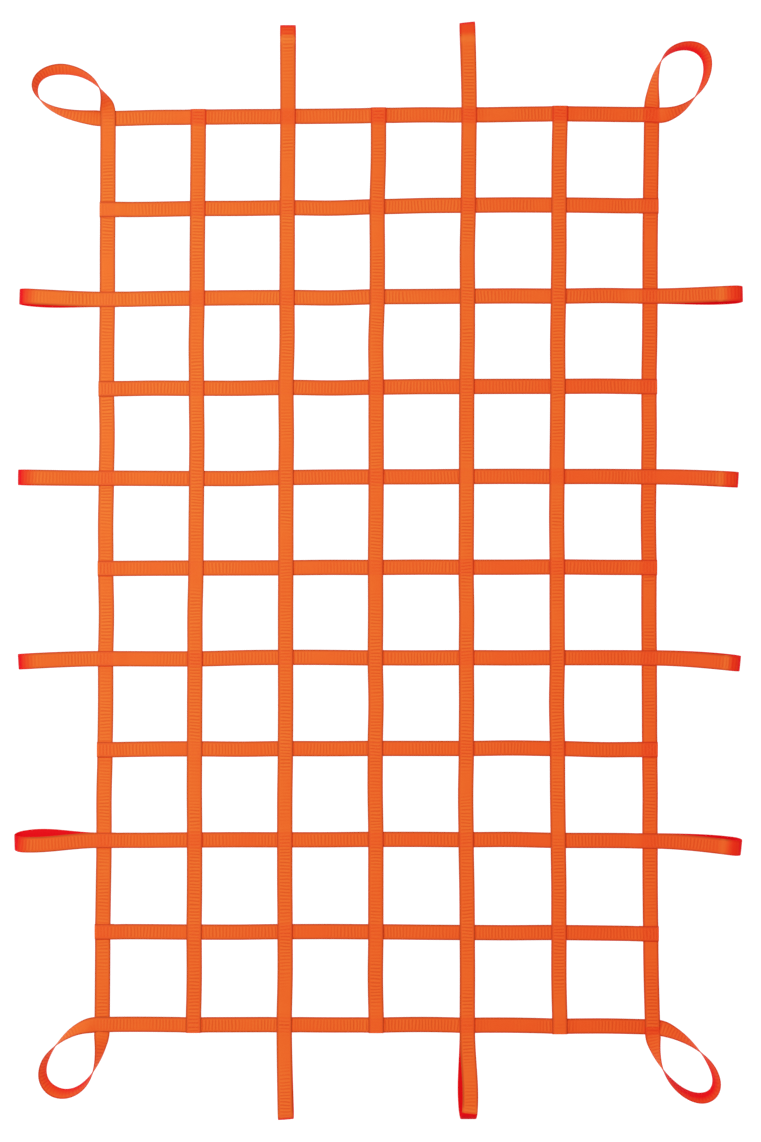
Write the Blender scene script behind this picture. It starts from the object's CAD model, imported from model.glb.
"""Cargo climbing net of sewn orange webbing, lying flat. Metres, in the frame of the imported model."""
import math

import bpy
import numpy as np
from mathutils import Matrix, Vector


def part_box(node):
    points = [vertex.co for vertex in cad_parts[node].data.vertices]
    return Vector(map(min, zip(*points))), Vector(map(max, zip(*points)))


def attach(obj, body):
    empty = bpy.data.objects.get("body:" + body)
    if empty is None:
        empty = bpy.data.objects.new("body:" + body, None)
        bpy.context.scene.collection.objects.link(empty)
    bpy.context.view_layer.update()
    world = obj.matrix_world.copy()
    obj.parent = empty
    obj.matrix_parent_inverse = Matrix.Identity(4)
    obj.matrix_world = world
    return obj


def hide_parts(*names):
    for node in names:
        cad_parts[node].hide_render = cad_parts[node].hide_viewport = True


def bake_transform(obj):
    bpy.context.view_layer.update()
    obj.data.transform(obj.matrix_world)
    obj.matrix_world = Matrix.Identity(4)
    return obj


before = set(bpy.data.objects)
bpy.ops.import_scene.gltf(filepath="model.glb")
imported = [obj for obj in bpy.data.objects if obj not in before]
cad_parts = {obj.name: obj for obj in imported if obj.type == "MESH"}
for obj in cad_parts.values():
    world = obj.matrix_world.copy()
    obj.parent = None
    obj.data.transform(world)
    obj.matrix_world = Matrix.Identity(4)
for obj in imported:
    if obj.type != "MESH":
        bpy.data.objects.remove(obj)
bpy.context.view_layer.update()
scene = bpy.context.scene
MM = 0.001

# ---- Sizes of the net, from the CAD nodes ----

ROWS, COLS, MID_ROW, MID_COL = 11, 7, 6, 4
LOOP_ROWS, LOOP_COLS, INNER_COLS = (3, 5, 7, 9), (3, 5), (2, 3, 4, 5, 6)


def middle(node, axis):
    low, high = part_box(node)
    return (low[axis] + high[axis]) / 2


strap_low, strap_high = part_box("cross_strap_06")
WIDTH = strap_high.y - strap_low.y
HALF = WIDTH / 2
THICK = strap_high.z / 3
PITCH = (middle("cross_strap_02", 1) - middle("cross_strap_10", 1)) / 8
EDGE_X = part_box("cross_strap_03")[1].x
EDGE_Y = 5 * PITCH + HALF
SIDE_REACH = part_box("loop_right_3")[1].x - EDGE_X
END_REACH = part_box("loop_top_3")[1].y - EDGE_Y
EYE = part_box("loop_right_3")[1].z / 2
TAIL = 10 * MM
PROUD = 0.6 * MM  # how far the soft selvedge stands proud of the CAD strap on each side
PULL = 1 * MM  # how far a fold presses the border strap's edge inwards
RAMP = 20 * MM

FLOOR, OVER, TOP = 0.5 * THICK, 1.5 * THICK, 2.5 * THICK  # middles of the first, second and third layer


def col_x(c):
    return (c - MID_COL) * PITCH


def row_y(r):
    return (MID_ROW - r) * PITCH


# ---- How the net lies: drawn a little out of square, with slight bows between the crossings ----

chance = np.random.default_rng(11)
KNOTS = chance.normal(0, 0.7 * MM, (ROWS + 4, COLS + 4, 2))
ROW_BOWS = chance.normal(0, 0.8 * MM, (ROWS + 1, COLS))
COL_BOWS = chance.normal(0, 0.8 * MM, (COLS + 1, ROWS))


def eased(t):
    t = np.clip(t, 0, 1)
    return t * t * (3 - 2 * t)


def drift(x, y):
    """How far a point of the net lies from its place in a perfect grid."""
    u, v = np.clip(x / (3 * PITCH), -1, 1), np.clip(y / (5 * PITCH), -1, 1)
    dx = -2.2 - 1.3 * u + 3 * v + 4 * u**2 + 3.5 * v**2 + 1.6 * u**3 - 4 * u * v + 4 * u * v**2
    dy = 5.5 + 3.5 * u - 2.7 * v - 2 * u**2 - 7.7 * v**2 - 2 * u**3 + 4.5 * u * v - u * v**2 + 7.8 * v**3
    across = np.clip(x / PITCH + COLS // 2 + 1, 0, COLS + 1)
    along = np.clip(y / PITCH + ROWS // 2 + 1, 0, ROWS + 1)
    i, j = across.astype(int), along.astype(int)
    s, t = eased(across - i)[:, None], eased(along - j)[:, None]
    near = KNOTS[j, i] * (1 - s) + KNOTS[j, i + 1] * s
    far = KNOTS[j + 1, i] * (1 - s) + KNOTS[j + 1, i + 1] * s
    return np.stack([dx, dy], 1) * MM + near * (1 - t) + far * t


def bow(bows, position):
    """Sideways bow of a strap, none at the crossings. Position counts crossings from the first one."""
    inside = (position > 0) & (position < len(bows) - 1)
    bay = np.clip(position.astype(int), 0, len(bows) - 2)
    return np.where(inside, np.asarray(bows)[bay] * np.sin(math.pi * (position - bay)) ** 2, 0)


# ---- Webbing ----

# Half of the webbing's outline, [share of the half width, share of the half thickness]: a full body,
# a shallow groove and a thinner selvedge
OUTLINE = [(0, 1), (0.38, 1), (0.64, 0.98), (0.69, 0.84), (0.75, 0.93), (0.91, 0.86), (0.98, 0.55)]
SECTION = np.array(
    [(-a, b) for a, b in reversed(OUTLINE[1:])] + OUTLINE + [(1, 0)]
    + [(a, -b) for a, b in reversed(OUTLINE[1:])] + [(-a, -b) for a, b in OUTLINE] + [(-1, 0)]
)


def framed(values):
    """The values with one more just inside each end, so that smooth shading rounds only the very end of a run."""
    first, last = 0.97 * values[0] + 0.03 * values[1], 0.97 * values[-1] + 0.03 * values[-2]
    return np.concatenate([values[:1], [first], values[1:-1], [last], values[-1:]])


def both_faces(front, back):
    """How red each point of the section is, from the red of its two faces along a run."""
    front, back = np.asarray(front, float)[:, None], np.asarray(back, float)[:, None]
    side = np.sign(SECTION[:, 1])
    return np.where(side > 0, front, np.where(side < 0, back, (front + back) / 2))


# Which section point lies opposite each one, the other way across
MIRRORED = [int(np.argmin(np.abs(SECTION - point * [-1, 1]).sum(1))) for point in SECTION]


class Run:
    """A length of webbing: its middle line, the way across it, how red each point of each section is, where it
    starts on its strap, the shade of its colour and, unless it is measured here, the distance along it."""

    def __init__(self, line, across, red, start=0.0, tone=0.0, along=None):
        line, across = np.asarray(line, float), np.asarray(across, float)
        steps = np.linalg.norm(np.diff(line, axis=0), axis=1)
        along = np.concatenate([[0], np.cumsum(steps)]) if along is None else along
        self.line, self.across, self.along = framed(line), framed(across), start + framed(along)
        self.length = float(steps.sum())
        self.red = framed(red)
        self.tone = tone

    def rings(self):
        """The outline of each section, in the frame."""
        heading = np.gradient(self.line, axis=0)
        heading /= np.linalg.norm(heading, axis=1)[:, None]
        across = self.across / np.linalg.norm(self.across, axis=1)[:, None]
        across = across - heading * (across * heading).sum(1)[:, None]
        across /= np.linalg.norm(across, axis=1)[:, None]
        face = np.cross(heading, across)
        return (
            self.line[:, None]
            + across[:, None] * SECTION[:, 0][None, :, None] * (HALF + PROUD)
            + face[:, None] * SECTION[:, 1][None, :, None] * THICK / 2
        )


def no_red(count):
    return np.zeros((count, len(SECTION)))


def laid(line, across, red, **facts):
    """A run moved to where the net lies, and turned with it."""
    line, across = np.array(line, float), np.array(across, float)
    step = 1 * MM
    x, y = line[:, 0], line[:, 1]
    moved = drift(x, y)
    by_x, by_y = (drift(x + step, y) - moved) / step, (drift(x, y + step) - moved) / step
    straight = np.abs(across[:, 1]) > np.abs(across[:, 0])
    turn = np.where(straight, by_x[:, 1], -by_y[:, 0])
    c, s = np.cos(turn), np.sin(turn)
    across = np.stack([across[:, 0] * c - across[:, 1] * s, across[:, 0] * s + across[:, 1] * c, across[:, 2]], 1)
    line[:, :2] += moved
    # redder towards the right, where the light falls off
    redder = 0.13 * eased((x / (3 * PITCH) - 0.1) / 1.2)
    return Run(line, across, redder[:, None] + red, **facts)


def make_mesh(name, points, faces, material, uvs=None, **shades):
    mesh = bpy.data.meshes.new(name)
    mesh.from_pydata(points.tolist(), [], faces)
    if uvs is not None:
        layer = mesh.uv_layers.new(name="webbing")
        corners = np.zeros(len(mesh.loops), np.int32)
        mesh.loops.foreach_get("vertex_index", corners)
        layer.data.foreach_set("uv", uvs[corners].astype(np.float32).ravel())
    for shade, values in shades.items():
        mesh.attributes.new(shade, "FLOAT", "POINT").data.foreach_set("value", values.astype(np.float32))
    mesh.materials.append(material)
    mesh.shade_smooth()
    made = bpy.data.objects.new(name, mesh)
    scene.collection.objects.link(made)
    return made


def webbing(name, runs):
    """One piece of the given runs of webbing, each a closed solid."""
    points, faces, uvs, tones, reds = [], [], [], [], []
    base, n = 0, len(SECTION)
    for run in runs:
        rings = run.rings()
        count = len(rings)
        points.append(rings.reshape(-1, 3))
        u = np.broadcast_to(SECTION[:, 0] * HALF, (count, n))
        v = np.broadcast_to(run.along[:, None], (count, n))
        uvs.append(np.stack([u, v], 2).reshape(-1, 2))
        tones.append(np.full(count * n, run.tone))
        reds.append(run.red.ravel())
        for i in range(count - 1):
            a = base + i * n
            for k in range(n):
                m = (k + 1) % n
                faces.append((a + k, a + m, a + m + n, a + k + n))
        faces.append(tuple(base + k for k in reversed(range(n))))
        faces.append(tuple(base + (count - 1) * n + k for k in range(n)))
        base += count * n
    made = make_mesh(
        name, np.concatenate(points), faces, MATERIALS["webbing"],
        np.concatenate(uvs), tone=np.concatenate(tones), red=np.concatenate(reds),
    )
    return made


def heights(position, humps):
    """Height of a strap's middle along it: on the floor, and up over each hump [centre, layers, ramp]."""
    z = np.full(len(position), FLOOR)
    for centre, layers, ramp in humps:
        away = np.abs(position - centre) - HALF - 1 * MM
        z = np.maximum(z, FLOOR + layers * THICK * (1 - eased(away / ramp)))
    return z


def stations(start, finish, step=6 * MM):
    return np.linspace(start, finish, max(3, int(abs(finish - start) / step) + 1))


def fold():
    """Half turn round the border strap's edge, from the top layer to the bottom one: [outwards, height]."""
    turn = np.linspace(math.pi / 2, -math.pi / 2, 12)
    return np.stack([0.62 * THICK * np.cos(turn) - PULL, OVER + THICK * np.sin(turn)], 1)


def curve(start, start_slope, finish, finish_slope, count):
    """Smooth line between two points [distance, height] with the given slopes at its ends."""
    t = np.linspace(0, 1, count)[:, None]
    reach = finish[0] - start[0]
    a, b = np.array([start]), np.array([finish])
    p, q = np.array([[reach, reach * start_slope]]), np.array([[reach, reach * finish_slope]])
    return (2 * t**3 - 3 * t**2 + 1) * a + (t**3 - 2 * t**2 + t) * p + (3 * t**2 - 2 * t**3) * b + (t**3 - t**2) * q


def hanging_loop(reach, upper, lower, skew):
    """A loop past the border's edge and its tail under the border: distance, height, sideways place and slope.
    Upper and lower are each leg's sideways place at the far end and how far it bellies out."""
    radius = EYE - THICK / 2
    centre = np.array([reach - EYE, EYE])
    rise = 2 * math.atan((EYE - 1.5 * THICK) / centre[0])
    touch = centre + radius * np.array([-math.sin(rise), math.cos(rise)])
    out = curve((0, TOP), 0.25 * rise, touch, 0.8 * math.tan(rise), 46)
    turn = np.linspace(math.pi / 2 + rise, -math.pi / 2, 30)[1:]
    eye = centre + radius * np.stack([np.cos(turn), np.sin(turn)], 1)
    back = stations(centre[0], -WIDTH - TAIL)[1:]
    back = np.stack([back, np.full(len(back), FLOOR)], 1)
    path = np.concatenate([out, eye, back])
    share = np.concatenate([np.zeros(len(out)), eased(np.linspace(0, 1, len(eye))), np.ones(len(back))])
    u = np.clip(path[:, 0] / reach, 0, 1)
    near_tip = eased((u - 0.6) / 0.3)

    def sideways(leg):
        place = leg[0] * u**1.6 + leg[1] * np.sin(math.pi * u**1.6)
        belly = 1.6 * math.pi * u**0.6 * np.cos(math.pi * u**1.6) * (1 - near_tip)
        return place * MM, (leg[0] * 1.6 * u**0.6 + leg[1] * belly) / reach * MM

    (up_place, up_slope), (low_place, low_slope) = sideways(upper), sideways(lower)
    place = up_place * (1 - share) + low_place * share
    slope = up_slope * (1 - share) + low_slope * share
    return path[:, 0], path[:, 1], place, slope + math.tan(math.radians(skew)) * near_tip


# How each hanging loop lies, in millimetres: how much longer it is than in the CAD, the sideways place of its
# upper leg at the tip and how far that leg bellies out, the same of the lower leg, and the skew of its end in
# degrees. Then how its tip turns red: how far back, how softly and how strongly.
LOOPS = {
    "loop_left_3": (-7.5, (4, 0), (4, -4), 0, (50, 50, 1.0)),
    "loop_left_5": (-6, (1.5, 0), (1.5, 0), 0, (54, 54, 1.0)),
    "loop_left_7": (-8, (-7.5, 0), (-7.5, 0), 0, (50, 50, 1.0)),
    "loop_left_9": (-2, (-6.5, -5), (0, 9), 0, (46, 46, 1.0)),
    "loop_right_3": (7.5, (4, 0), (1.5, -3.5), 0, (52, 30, 0.55)),
    "loop_right_5": (-2, (-8.5, 0), (-8.5, 0), 0, (42, 14, 0.4)),
    "loop_right_7": (2, (-14.5, 0), (-12.5, 1), 0, (34, 14, 0.55)),
    "loop_right_9": (3, (-16, 0), (-11, 2), 0, (44, 24, 0.6)),
    "loop_top_3": (-11, (0, 0), (0, 0), 0, (34, 12, 0.5)),
    "loop_top_5": (-9, (-5, 0), (-5, 0), -4, (40, 16, 0.5)),
    "loop_bottom_3": (-3, (3, 0), (4, 0), 3, (8, 5, 0.6)),
    "loop_bottom_5": (-5.5, (2, 4.5), (-2, -5), 0, (19, 4, 1.4)),
}
INNER_RED = 1.25


def tip_red(distance, reach_back, softness, strength):
    """How red each section of a hanging loop is on its two faces, from its distance to the border's edge."""
    to_tip = (distance.max() - distance) / MM
    outer = strength * eased((reach_back - to_tip) / softness)
    if softness < reach_back:
        # a lighter band before the red
        outer -= 0.35 * np.exp(-(((to_tip - reach_back - 4) / 9) ** 2))
    under = np.arange(len(distance)) > np.argmax(distance)
    outer = np.where(under, strength * eased((reach_back + 25 - to_tip) / 25), outer)
    outer += 1.1 * (1 - np.sqrt(np.minimum(to_tip / 10, 1)))
    return both_faces(outer, INNER_RED * eased(distance / (40 * MM)))


def loop_run(name, base, heading, reach, lead):
    """The line, the way across and the red of a hanging loop. Lead is its way to the border's edge, each
    point's distance, height and place to its left."""
    extra, upper, lower, skew, tip = LOOPS[name]
    distance, z, place, slope = hanging_loop(reach + extra * MM, upper, lower, skew)
    lead = lead[:-1]
    distance, z = np.concatenate([lead[:, 0], distance]), np.concatenate([lead[:, 1], z])
    heading = np.array([*heading, 0.0])
    left = np.array([-heading[1], heading[0], 0.0])
    # LOOPS gives sideways places towards +Y on the sides and +X at the ends
    sign = left[0] + left[1]
    place = np.concatenate([lead[:, 2], place * sign])
    slope = np.concatenate([np.zeros(len(lead)), slope * sign])
    line = np.array([*base, 0.0]) + distance[:, None] * heading + place[:, None] * left + z[:, None] * [0, 0, 1]
    return line, left - slope[:, None] * heading, tip_red(distance, *tip)


# ---- Materials ----


def nodes_of(material):
    """The material's emptied node tree, and short calls to link, to calculate and to mix colours in it."""
    material.use_nodes = True
    tree = material.node_tree
    tree.nodes.clear()
    link = tree.links.new

    def math_node(operation, a, b=None, c=None, clamp=False):
        made = tree.nodes.new("ShaderNodeMath")
        made.operation = operation
        made.use_clamp = clamp
        for socket, value in zip(made.inputs, (a, b, c)):
            if value is None:
                continue
            if isinstance(value, (int, float)):
                socket.default_value = value
            else:
                link(value, socket)
        return made.outputs[0]

    def mix(factor, a, b):
        made = tree.nodes.new("ShaderNodeMix")
        made.data_type = "RGBA"
        made.clamp_factor = True
        for index, value in ((0, factor), (6, a), (7, b)):
            if isinstance(value, (int, float)):
                made.inputs[index].default_value = value
            elif isinstance(value, tuple):
                made.inputs[index].default_value = (*value, 1)
            else:
                link(value, made.inputs[index])
        return made.outputs[2]

    return tree, link, math_node, mix


RIB, BAND_OF_RIBS = 2.1 * MM, 8.3 * MM  # from one cross rib to the next, and from one darker band to the next
LIGHTER, ORANGE, REDDER = (0.66, 0.190, 0.026), (0.63, 0.146, 0.020), (0.60, 0.105, 0.017)
SHADE = (0.45, 0.065, 0.011)


def webbing_material():
    material = bpy.data.materials.new("webbing")
    tree, link, m, mix = nodes_of(material)
    uv = tree.nodes.new("ShaderNodeUVMap")
    uv.uv_map = "webbing"
    split = tree.nodes.new("ShaderNodeSeparateXYZ")
    link(uv.outputs[0], split.inputs[0])
    u, v = split.outputs[0], split.outputs[1]
    side = m("DIVIDE", m("ABSOLUTE", u), HALF)

    def painted(name):
        made = tree.nodes.new("ShaderNodeAttribute")
        made.attribute_name = name
        return made.outputs["Fac"]

    def darker(value, strength):
        """How far a wave is in its trough."""
        return m("MULTIPLY", m("MAXIMUM", m("MULTIPLY", value, -1.0), 0.0), strength)

    tone, red = painted("tone"), painted("red")

    def noise(scale_u, scale_v, detail, roughness=0.5, offset=0.0):
        joined = tree.nodes.new("ShaderNodeCombineXYZ")
        link(m("MULTIPLY", u, scale_u), joined.inputs[0])
        link(m("MULTIPLY", v, scale_v), joined.inputs[1])
        link(m("ADD", m("MULTIPLY", tone, 37.0), offset), joined.inputs[2])
        made = tree.nodes.new("ShaderNodeTexNoise")
        made.inputs["Scale"].default_value = 1.0
        made.inputs["Detail"].default_value = detail
        made.inputs["Roughness"].default_value = roughness
        link(joined.outputs[0], made.inputs["Vector"])
        return made.outputs["Fac"]

    # Body of the webbing between the two selvedges, and its cross ribs
    past_body = m("MAXIMUM", m("MULTIPLY", m("SUBTRACT", side, 0.6), 12.0), 0.0)
    body = m("SUBTRACT", 1.0, m("SMOOTH_MIN", past_body, 1.0, 0.2), clamp=True)
    wobble = m("MULTIPLY", noise(30, 60, 2), 1.2 * MM)
    fine = m("SINE", m("MULTIPLY", m("ADD", v, wobble), 2 * math.pi / RIB))
    band_wobble = m("MULTIPLY", noise(18, 22, 2, offset=5.0), 10 * MM)
    bands = m("SINE", m("MULTIPLY", m("ADD", v, band_wobble), 2 * math.pi / BAND_OF_RIBS))
    patch = m("MULTIPLY", m("SUBTRACT", noise(6, 9, 1, offset=11.0), 0.33), 4.5, clamp=True)
    bands = m("MULTIPLY", m("MULTIPLY", bands, patch), body)
    fine = m("MULTIPLY", fine, body)
    yarn = noise(900, 2600, 2, 0.6, 3.0)
    lengthwise = noise(520, 14, 2, 0.5, 7.0)
    clouds = noise(9, 5, 3, 0.55, 9.0)

    # Colour: clear orange, warmer and redder in places, darker in the ribs, the grooves and along the edges
    factor = m("ADD", m("MULTIPLY", m("SUBTRACT", clouds, 0.5), 1.6), m("MULTIPLY", tone, 0.55))
    colour = mix(m("MAXIMUM", factor, 0.0), ORANGE, LIGHTER)
    colour = mix(darker(factor, 1.0), colour, REDDER)
    colour = mix(m("MULTIPLY", m("MAXIMUM", bands, 0.0), 0.35), colour, (0.70, 0.235, 0.038))
    colour = mix(darker(bands, 1.0), colour, (0.24, 0.100, 0.014))
    colour = mix(darker(fine, 0.16), colour, SHADE)
    groove = m("SUBTRACT", 1.0, m("MULTIPLY", m("ABSOLUTE", m("SUBTRACT", side, 0.69)), 22.0), clamp=True)
    colour = mix(m("MULTIPLY", groove, 0.25), colour, SHADE)
    rim = m("MULTIPLY", m("SUBTRACT", side, 0.69), 12.0, clamp=True)
    colour = mix(m("MULTIPLY", rim, 0.9), colour, (0.19, 0.100, 0.016))
    edge = m("MULTIPLY", m("SUBTRACT", side, 0.84), 14.0, clamp=True)
    colour = mix(m("MULTIPLY", edge, 0.8), colour, (0.07, 0.050, 0.008))
    colour = mix(m("MULTIPLY", m("SUBTRACT", yarn, 0.5), 0.25, clamp=True), colour, (0.74, 0.30, 0.07))
    colour = mix(m("MULTIPLY", m("SUBTRACT", 0.5, lengthwise), 0.30, clamp=True), colour, (0.50, 0.080, 0.013))
    # Painted: lighter below 0, red up to 1 and crimson past it
    colour = mix(darker(red, 1.0), colour, (0.72, 0.24, 0.04))
    colour = mix(m("MAXIMUM", red, 0.0), colour, (0.46, 0.002, 0.006))
    colour = mix(m("SUBTRACT", red, 1.0), colour, (0.12, 0.001, 0.010))

    height = m("ADD", m("MULTIPLY", fine, 0.11 * MM), m("MULTIPLY", bands, 0.09 * MM))
    height = m("ADD", height, m("MULTIPLY", yarn, 0.10 * MM))
    height = m("ADD", height, m("MULTIPLY", lengthwise, 0.08 * MM))
    bump = tree.nodes.new("ShaderNodeBump")
    bump.inputs["Strength"].default_value = 1.0
    bump.inputs["Distance"].default_value = 1.0
    link(height, bump.inputs["Height"])

    shader = tree.nodes.new("ShaderNodeBsdfPrincipled")
    link(colour, shader.inputs["Base Color"])
    link(m("ADD", 0.50, m("MULTIPLY", yarn, 0.22)), shader.inputs["Roughness"])
    link(bump.outputs[0], shader.inputs["Normal"])
    shader.inputs["Specular IOR Level"].default_value = 0.06
    output = tree.nodes.new("ShaderNodeOutputMaterial")
    link(shader.outputs[0], output.inputs[0])
    return material


def thread_material():
    material = bpy.data.materials.new("thread")
    tree, link, m, mix = nodes_of(material)
    place = tree.nodes.new("ShaderNodeTexCoord").outputs["Object"]
    ply = tree.nodes.new("ShaderNodeTexNoise")
    ply.inputs["Scale"].default_value = 1400
    ply.inputs["Detail"].default_value = 2
    link(place, ply.inputs["Vector"])
    colour = mix(ply.outputs["Fac"], (0.58, 0.100, 0.016), (0.64, 0.150, 0.024))
    bump = tree.nodes.new("ShaderNodeBump")
    bump.inputs["Distance"].default_value = 1.0
    link(m("MULTIPLY", ply.outputs["Fac"], 0.12 * MM), bump.inputs["Height"])
    shader = tree.nodes.new("ShaderNodeBsdfPrincipled")
    link(colour, shader.inputs["Base Color"])
    link(m("ADD", 0.35, m("MULTIPLY", ply.outputs["Fac"], 0.25)), shader.inputs["Roughness"])
    shader.inputs["Specular IOR Level"].default_value = 0.15
    link(bump.outputs[0], shader.inputs["Normal"])
    output = tree.nodes.new("ShaderNodeOutputMaterial")
    link(shader.outputs[0], output.inputs[0])
    return material


MATERIALS = {"webbing": webbing_material(), "thread": thread_material()}

# ---- Rows ----

BAND = {r: f"band_{r:02d}" for r in range(1, ROWS + 1)}
INSIDE = EDGE_X - WIDTH


def row_name(r):
    return {1: "border_strap_top", ROWS: "border_strap_bottom"}.get(r, f"cross_strap_{r:02d}")


def row_tone():
    return float(chance.uniform(-1, 0.3))


def row_bow(r, x):
    return bow(ROW_BOWS[r], x / PITCH + MID_COL - 1)


def column_bow(c, y):
    return bow(COL_BOWS[c], y / PITCH + ROWS - MID_ROW)


# How red the upper strap turns where it is sewn down, most of all over the top border row
CROSSING_RED = chance.uniform(0.0, 0.18, (ROWS + 1, COLS))
CROSSING_RED[1, 1:-1] += 0.20
CROSSING_RED[:, -1] += 0.06


def pressed(shape, away, red):
    """The red of a run where it crosses another strap, from each section's distance to that strap's middle."""
    return np.broadcast_to((red * (1 - eased((np.abs(away) - HALF) / (5 * MM) + 0.5)))[:, None], shape)


for r in range(2, ROWS):
    tone = row_tone()
    y = row_y(r)
    if r not in LOOP_ROWS:
        flat = stations(PULL - EDGE_X, EDGE_X - PULL)
        z = heights(flat, [(-EDGE_X + HALF, 2, 2 * RAMP), (EDGE_X - HALF, 2, 2 * RAMP)])
        place = row_bow(r, flat)
        ends = fold()
        tail = stations(EDGE_X - PULL, INSIDE - TAIL)
        right = np.concatenate([
            np.stack([EDGE_X + ends[1:, 0], ends[1:, 1]], 1),
            np.stack([tail[1:], np.full(len(tail) - 1, FLOOR)], 1),
        ])
        left = right[::-1] * [-1, 1]
        x = np.concatenate([left[:, 0], flat, right[:, 0]])
        z = np.concatenate([left[:, 1], z, right[:, 1]])
        place = np.concatenate([np.zeros(len(left)), place, np.zeros(len(right))])
        slope = np.concatenate([np.zeros(len(left)), np.gradient(row_bow(r, flat), flat), np.zeros(len(right))])
        line = np.stack([x, y + place, z], 1)
        across = np.stack([-slope, np.ones(len(x)), np.zeros(len(x))], 1)
        red = no_red(len(line))
        for side, c in ((-1, 0), (1, COLS - 1)):
            red += pressed(red.shape, side * x - 3 * PITCH, CROSSING_RED[r, c])
        run = laid(line, across, red, start=3.1 * r, tone=tone)
        piece = webbing(f"row_{r:02d}_webbing", [run])
        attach(piece, BAND[r])
        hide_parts(row_name(r))
        continue
    for side, word in ((-1, "left"), (1, "right")):
        name = f"loop_{word}_{r}"
        out = stations(0, EDGE_X)
        lead = np.stack([out, heights(out, [(EDGE_X - HALF, 2, 2 * RAMP)]), side * row_bow(r, side * out)], 1)
        lead[:, 0] -= EDGE_X
        line, across, red = loop_run(name, (side * EDGE_X, y), (side, 0), SIDE_REACH, lead)
        red += pressed(red.shape, np.abs(line[:, 0]) - 3 * PITCH, CROSSING_RED[r, 0 if side < 0 else COLS - 1])
        lean = np.zeros(len(line))
        lean[: len(out)] = np.gradient(lead[:, 2], out)
        across = across - lean[:, None] * np.array([side, 0, 0])
        run = laid(line, across, red, start=3.1 * r + 1.7 * side, tone=tone)
        piece = webbing(f"row_{r:02d}_{word}_webbing", [run])
        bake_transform(piece)
        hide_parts(row_name(r), name)

# ---- Top and bottom border rows with the corner loops ----

# A corner loop: side, end, route of its middle line from the crossing's centre in millimetres outwards, where
# along it the webbing stands on its edge, the layers of the upright and the row at the crossing, and how red
# its inner face is at the two twists.
CORNERS = {
    "loop_corner_top_left": (
        -1, 1, [(0, 0), (0, 165), (150, 100), (165, 200), (295, 20), (130, 0), (0, 0)],
        (0.156, 0.636), (1, 0), (0.45, 0.2)),
    "loop_corner_top_right": (
        1, 1, [(0, 0), (0, 315), (135, 30), (160, 380), (235, -75), (5, 0), (0, 0)],
        (0.272, 0.765), (0, 1), (1.25, 0.5)),
    "loop_corner_bottom_left": (
        -1, -1, [(0, 0), (0, 170), (75, 320), (345, 75), (50, 75), (130, 0), (0, 0)],
        (0.233, 0.752), (0, 1), (1.2, 0.3)),
    "loop_corner_bottom_right": (
        1, -1, [(0, 0), (0, 195), (165, 170), (55, 215), (320, 200), (110, 0), (0, 0)],
        (0.205, 0.746), (1, 0), (1.6, 0.6)),
}


def bezier(points, t):
    points = [np.broadcast_to(np.array(p, float), (len(t), 2)) for p in points]
    while len(points) > 1:
        points = [a * (1 - t[:, None]) + b * t[:, None] for a, b in zip(points, points[1:])]
    return points[0]


def softened(values, passes=12):
    for _ in range(passes):
        values = np.concatenate([values[:1], (values[:-2] + 2 * values[1:-1] + values[2:]) / 4, values[-1:]])
    return values


def corner_route(route, twists, layers, reds):
    """The loop from the upright's crossing centre round to the row's: its line, the way across and its red."""
    fine = bezier(route, np.linspace(0, 1, 1500))
    measure = np.concatenate([[0], np.cumsum(np.linalg.norm(np.diff(fine, axis=0), axis=1))])
    count = 112
    share = np.linspace(0, 1, count)
    flat = np.stack([np.interp(share * measure[-1], measure, fine[:, k]) for k in (0, 1)], 1) * MM
    heading = np.gradient(flat, axis=0)
    heading /= np.linalg.norm(heading, axis=1)[:, None]
    # How much of the upper face is seen from above, from 1 where the webbing lies flat to 0 where it stands
    # on its edge; inside the loop the other face shows
    first, last = twists
    inside = first + (last - first) * np.array([0.13, 0.47, 0.85])
    flat_part = 24 / measure[-1]
    seen = np.interp(
        share, [0, flat_part, first, *inside, last, 1 - flat_part, 1], [1, 1, 0, -0.26, -0.60, -0.32, 0, 1, 1]
    )
    roll = softened(np.arccos(seen), 8)
    lift = layers[0] * (1 - eased(share / 0.16)) + layers[1] * (1 - eased((1 - share) / 0.16))
    z = (HALF + PROUD) * np.sin(roll) + THICK / 2 * np.abs(np.cos(roll)) + lift * THICK
    inwards = np.stack([heading[:, 1], -heading[:, 0]], 1)
    across = np.concatenate([inwards * np.cos(roll)[:, None], np.sin(roll)[:, None]], 1)
    # red inside the loop, most of all along its lower edge
    inner_face = np.interp(share, [0, first, last, 1], [0, *reds, 0])
    red = both_faces(inner_face, 0.1 * eased(share / first) * eased((1 - share) / (1 - last)))
    red = red * np.where(SECTION[:, 1] > 0, 0.7 - 0.45 * SECTION[:, 0], 1)
    return np.concatenate([flat, z[:, None]], 1), across, red


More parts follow.
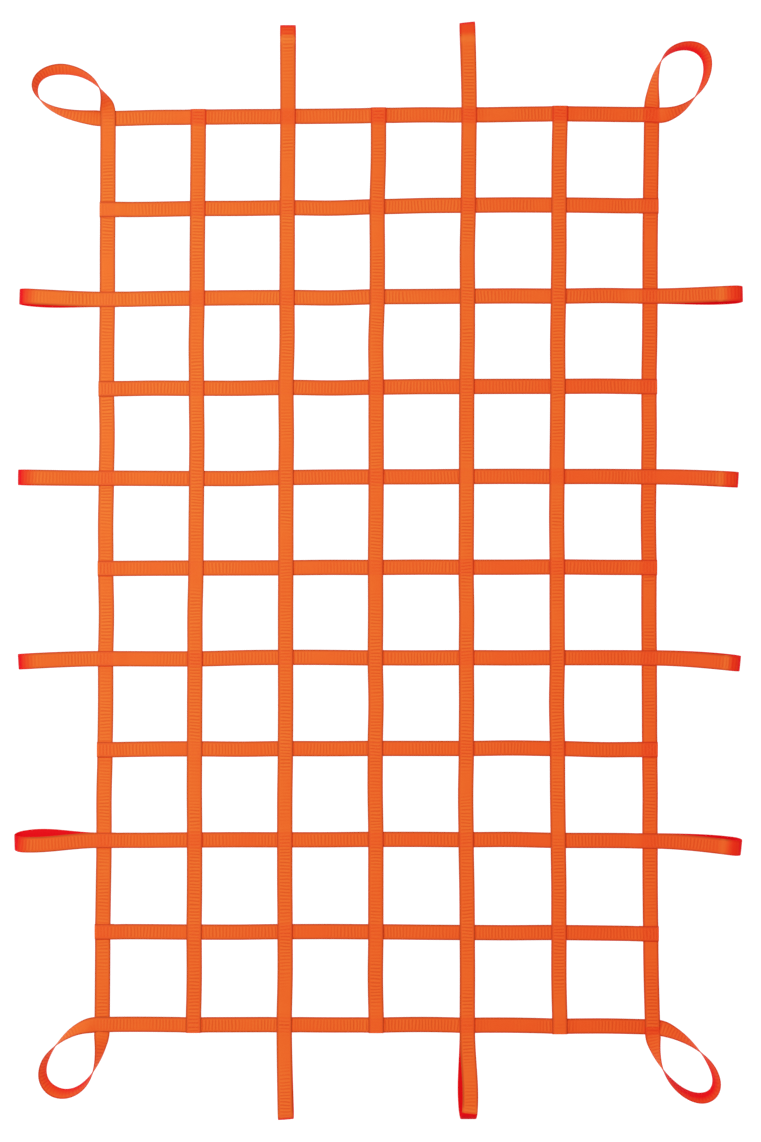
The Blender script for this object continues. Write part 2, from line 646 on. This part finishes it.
for name, (side, end, route, twists, layers, reds) in CORNERS.items():
    r = 1 if end > 0 else ROWS
    loop, loop_across, loop_red = corner_route(route, twists, layers, reds)
    # inwards along the border row, to the middle column
    inner = stations(3 * PITCH, 0)[1:]
    humps = [(col_x(c), 1, RAMP) for c in INNER_COLS]
    if layers[1]:
        humps.append((3 * PITCH, layers[1], RAMP))
    place = end * row_bow(r, side * inner)
    row = np.stack([inner - 3 * PITCH, place, heights(inner, humps)], 1)
    slope = np.gradient(place, inner)
    row_across = np.stack([-slope, np.ones(len(inner)), np.zeros(len(inner))], 1)
    line = np.concatenate([loop, row])
    across = np.concatenate([loop_across, row_across])
    mirror = np.array([side, end, 1])
    line = line * mirror + [side * 3 * PITCH, end * 5 * PITCH, 0]
    across = across * mirror
    red = np.concatenate([loop_red, no_red(len(inner))])
    away = np.hypot(line[:, 0] - side * 3 * PITCH, line[:, 1] - end * 5 * PITCH)
    red += pressed(red.shape, away, 0.16 + 0.14 * side)
    if side * end < 0:
        across, red = -across, red[:, MIRRORED]
    run = laid(line, across, red, start=7.7 * r + 2.9 * side, tone=row_tone())
    piece = webbing(name.replace("loop_corner", "border") + "_webbing", [run])
    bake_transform(piece)
    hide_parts(row_name(r), name)

# ---- Uprights, a bay at a time ----

CORNER_LAYERS = {(side, end): layers[0] for side, end, _, _, layers, _ in CORNERS.values()}


def upright_run(c, start, finish, tone):
    """A length of upright between two heights on the net, climbing over the rows it crosses."""
    y = stations(start, finish)
    humps = []
    for r in range(1, ROWS + 1):
        at_end = r in (1, ROWS)
        if 1 < c < COLS:
            layers = 2 if at_end else 1
        else:
            layers = CORNER_LAYERS[(-1 if c == 1 else 1, 1 if r == 1 else -1)] if at_end else 1
        if layers:
            humps.append((row_y(r), layers, RAMP * layers))
    place = column_bow(c, y)
    line = np.stack([col_x(c) + place, y, heights(y, humps)], 1)
    across = np.stack([np.ones(len(y)), -np.gradient(place, y), np.zeros(len(y))], 1)
    red = no_red(len(y))
    if 1 < c < COLS:
        for r in range(1, ROWS + 1):
            red += pressed(red.shape, y - row_y(r), CROSSING_RED[r, c - 1])
    return laid(line, -across, red, start=5.3 * c, tone=tone, along=y)


COLUMN_TONES = {c: float(chance.uniform(-0.3, 1)) for c in range(1, COLS + 1)}
for r in range(1, ROWS):
    for word, columns in (("border", (1, COLS)), ("inner", INNER_COLS)):
        runs = [upright_run(c, row_y(r + 1), row_y(r), COLUMN_TONES[c]) for c in columns]
        piece = webbing(f"{word}_bay_{r:02d}_webbing", runs)
        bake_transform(piece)
        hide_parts(f"{word}_uprights_{r:02d}", f"{word}_uprights_{r + 1:02d}")

# ---- Ends of the inner uprights: folds and hanging loops ----

for end, r, word in ((1, 1, "top"), (-1, ROWS, "bottom")):
    folds = []
    for c in INNER_COLS:
        lead = stations(-HALF, 0)
        lead = np.stack([lead, np.full(len(lead), TOP), np.zeros(len(lead))], 1)
        base, heading = (col_x(c), end * EDGE_Y), (0, end)
        if c in LOOP_COLS:
            name = f"loop_{word}_{c}"
            line, across, red = loop_run(name, base, heading, END_REACH, lead)
            red += pressed(red.shape, np.abs(line[:, 1]) - 5 * PITCH, CROSSING_RED[r, c - 1])
            run = laid(line, across, red, start=5.3 * c + end * 5 * PITCH, tone=COLUMN_TONES[c])
            piece = webbing(f"column_{c}_{word}_webbing", [run])
            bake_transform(piece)
            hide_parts(name, f"inner_uprights_{r:02d}")
            continue
        bend = fold()
        tail = stations(-PULL, -WIDTH - TAIL)
        lead[:, 0] *= (HALF - PULL) / HALF
        lead[:, 0] -= PULL
        distance = np.concatenate([lead[:, 0], bend[1:, 0], tail[1:]])
        z = np.concatenate([lead[:, 1], bend[1:, 1], np.full(len(tail) - 1, FLOOR)])
        line = np.stack([np.full(len(distance), col_x(c)), end * (EDGE_Y + distance), z], 1)
        across = np.broadcast_to([-float(end), 0.0, 0.0], line.shape)
        red = pressed((len(line), len(SECTION)), np.abs(line[:, 1]) - 5 * PITCH, CROSSING_RED[r, c - 1])
        folds.append(laid(line, across, red, start=5.3 * c + end * 5 * PITCH, tone=COLUMN_TONES[c]))
    piece = webbing(f"{word}_folds_webbing", folds)
    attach(piece, BAND[r])
    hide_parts(f"inner_uprights_{r:02d}")

# ---- Stitching ----

# A stitch's length, the gap to the next one, half its width and its height
STITCH, STITCH_GAP, THREAD, THREAD_RISE = 3.4 * MM, 0.5 * MM, 0.45 * MM, 0.35 * MM
SEAM_INSET = 4 * MM  # from the webbing's edge to the sewn square
# One stitch as five rows of three points: [along, across, up] shares of half its length, half its width and
# its height. It is highest along its middle and dips into the webbing at its ends.
STITCH_SHAPE = np.array([
    (s, k * w, h - 0.75 if k and h > 0 else h)
    for s, w, h in ((-1, 0.4, -0.5), (-0.6, 1, 0.9), (0, 1.05, 1), (0.6, 1, 0.9), (1, 0.4, -0.5))
    for k in (-1, 0, 1)
])
STITCH_FACES = [
    (3 * i + k, 3 * i + k + 1, 3 * i + k + 4, 3 * i + k + 3) for i in range(4) for k in range(2)
]


def seam_lines():
    """A sewn square with a cross in it, as pairs of ends."""
    a = HALF - SEAM_INSET
    corners = [(-a, -a), (a, -a), (a, a), (-a, a)]
    square = list(zip(corners, corners[1:] + corners[:1]))
    return square + [((-a, -a), (a, a)), ((-a, a), (a, -a))]


def stitch_row(r):
    """The points and faces of all the stitches at the crossings of a row."""
    points, faces = [], []
    for c in range(1, COLS + 1):
        at_end, at_side = r in (1, ROWS), c in (1, COLS)
        surface = (2 if at_end == at_side else 3) * THICK
        centre = np.array([[col_x(c), row_y(r)]])
        place = centre[0] + drift(centre[:, 0], centre[:, 1])[0]
        turn = float(chance.normal(0, 0.012))
        for (ax, ay), (bx, by) in seam_lines():
            length = math.hypot(bx - ax, by - ay)
            count = max(1, round(length / (STITCH + STITCH_GAP)))
            angle = math.atan2(by - ay, bx - ax)
            for i in range(count):
                t = (i + 0.5) / count
                local = np.array([ax + (bx - ax) * t, ay + (by - ay) * t]) + chance.normal(0, 0.12 * MM, 2)
                lean = angle + turn + chance.normal(0, 0.05)
                c0, s0 = math.cos(turn), math.sin(turn)
                spot = place + [local[0] * c0 - local[1] * s0, local[0] * s0 + local[1] * c0]
                shape = STITCH_SHAPE * [STITCH / 2, THREAD, THREAD_RISE]
                x = shape[:, 0] * math.cos(lean) - shape[:, 1] * math.sin(lean) + spot[0]
                y = shape[:, 0] * math.sin(lean) + shape[:, 1] * math.cos(lean) + spot[1]
                base = len(points) * len(STITCH_SHAPE)
                points.append(np.stack([x, y, shape[:, 2] + surface], 1))
                faces.extend(tuple(base + k for k in face) for face in STITCH_FACES)
    return np.concatenate(points), faces


for r in range(1, ROWS + 1):
    points, faces = stitch_row(r)
    piece = make_mesh(f"row_{r:02d}_thread", points, faces, MATERIALS["thread"])
    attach(piece, BAND[r])
    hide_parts(f"stitching_{r:02d}")

# ---- Floor, light and camera ----


def plain_floor():
    """A pale floor, almost see-through, so that a pose that hangs below it still shows."""
    material = bpy.data.materials.new("floor")
    tree, link, _, _ = nodes_of(material)
    solid = tree.nodes.new("ShaderNodeBsdfDiffuse")
    solid.inputs["Color"].default_value = (0.95, 0.95, 0.95, 1)
    clear = tree.nodes.new("ShaderNodeBsdfTransparent")
    joined = tree.nodes.new("ShaderNodeMixShader")
    joined.inputs[0].default_value = 0.02
    link(clear.outputs[0], joined.inputs[1])
    link(solid.outputs[0], joined.inputs[2])
    output = tree.nodes.new("ShaderNodeOutputMaterial")
    link(joined.outputs[0], output.inputs[0])
    size, level = 8.0, -0.5 * MM
    points = np.array([(-size, -size, level), (size, -size, level), (size, size, level), (-size, size, level)])
    made = make_mesh("floor", points, [(0, 1, 2, 3)], material)


plain_floor()

# White all round, brighter at and below the floor than overhead
world = bpy.data.worlds.new("studio")
scene.world = world
world.use_nodes = True
sky = world.node_tree
place = sky.nodes.new("ShaderNodeTexCoord")
split = sky.nodes.new("ShaderNodeSeparateXYZ")
ramp = sky.nodes.new("ShaderNodeMapRange")
ramp.interpolation_type = "SMOOTHSTEP"
for socket, value in zip(ramp.inputs[1:5], (0.0, 0.35, 1.12, 0.45)):
    socket.default_value = value
sky.links.new(place.outputs["Generated"], split.inputs[0])
sky.links.new(split.outputs[2], ramp.inputs[0])
sky.links.new(ramp.outputs[0], sky.nodes["Background"].inputs["Strength"])
sky.nodes["Background"].inputs["Color"].default_value = (1, 1, 1, 1)


lamp = bpy.data.lights.new("key", "AREA")
lamp.shape, lamp.size, lamp.energy, lamp.color = "SQUARE", 1.6, 95, (1.0, 0.98, 0.94)
key = bpy.data.objects.new("key", lamp)
scene.collection.objects.link(key)
key.location = (-2.1, 0.7, 2.6)
key.rotation_mode = "QUATERNION"
key.rotation_quaternion = (-Vector(key.location)).to_track_quat("-Z", "Y")

# Straight above the net, looking down
CAMERA_HEIGHT, VIEW_HEIGHT = 8.0, 2.885
camera_data = bpy.data.cameras.new("camera")
camera_data.sensor_width = 36
camera_data.lens = camera_data.sensor_width * CAMERA_HEIGHT / VIEW_HEIGHT
camera_data.clip_end = 100
camera = bpy.data.objects.new("camera", camera_data)
scene.collection.objects.link(camera)
scene.camera = camera
camera.location = (9.9 * MM, -4.0 * MM, CAMERA_HEIGHT)

# A photograph's tone: the reds stay bright where the light falls off, so that the orange turns red there
view = scene.view_settings
view.view_transform = "Standard"
view.use_curve_mapping = True
red_curve = view.curve_mapping.curves[0]
for point in ((0.10, 0.48), (0.25, 0.70), (0.45, 0.815), (0.62, 0.850), (0.75, 0.883)):
    red_curve.points.new(*point)
view.curve_mapping.update()
